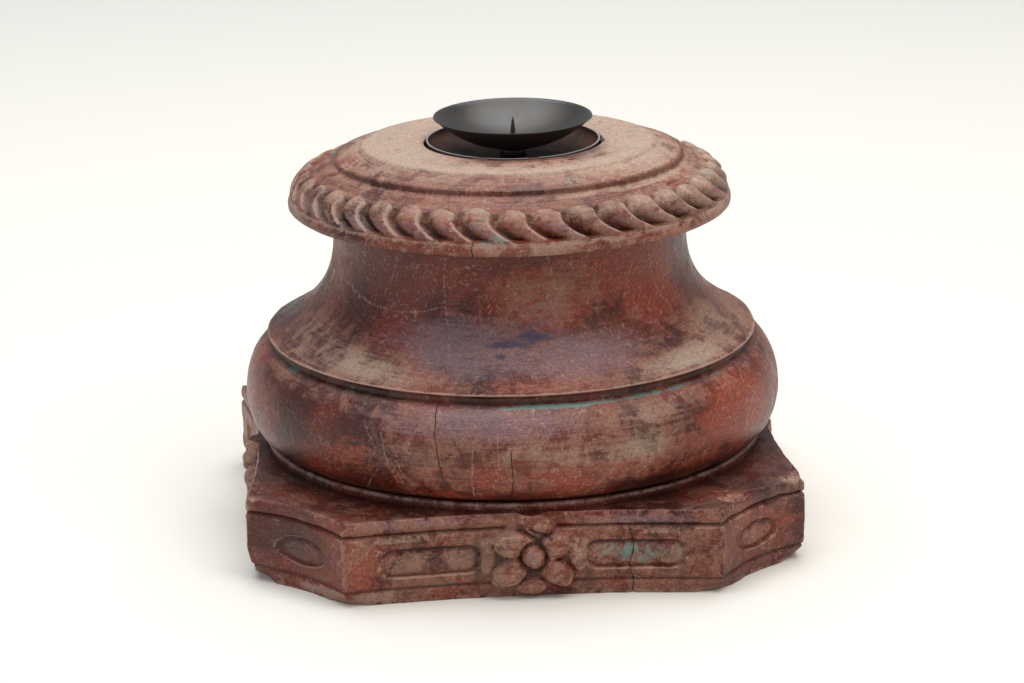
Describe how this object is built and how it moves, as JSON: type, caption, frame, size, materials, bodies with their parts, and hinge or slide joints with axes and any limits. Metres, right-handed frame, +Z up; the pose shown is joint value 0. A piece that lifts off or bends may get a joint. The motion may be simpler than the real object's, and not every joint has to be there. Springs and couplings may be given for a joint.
{
  "type": "carved wooden pedestal",
  "caption": "Squat carved wooden column base with cut corners, swelling turned body, rope-carved lip and an iron candle dish let into the top.",
  "frame": {"origin": "middle of the underside, at the centre of the plinth's outline", "axes": "+Z up along the turning axis, -Y out of the side with the front rosette, +X to the right of it"},
  "size_m": [0.3476, 0.3408, 0.2584],
  "materials": {
    "worn_red_painted_wood": "old deep red paint, rubbed, dusty and cracked, over hardwood",
    "blackened_iron": "blackened sheet iron, half matt",
    "browned_iron": "rust-brown sheet iron, matt"
  },
  "bodies": {
    "root": {"pedestal": "worn_red_painted_wood", "sunk_saucer": "browned_iron", "stem": "blackened_iron", "candle_dish": "blackened_iron", "spike": "blackened_iron"}
  },
  "joints": []
}
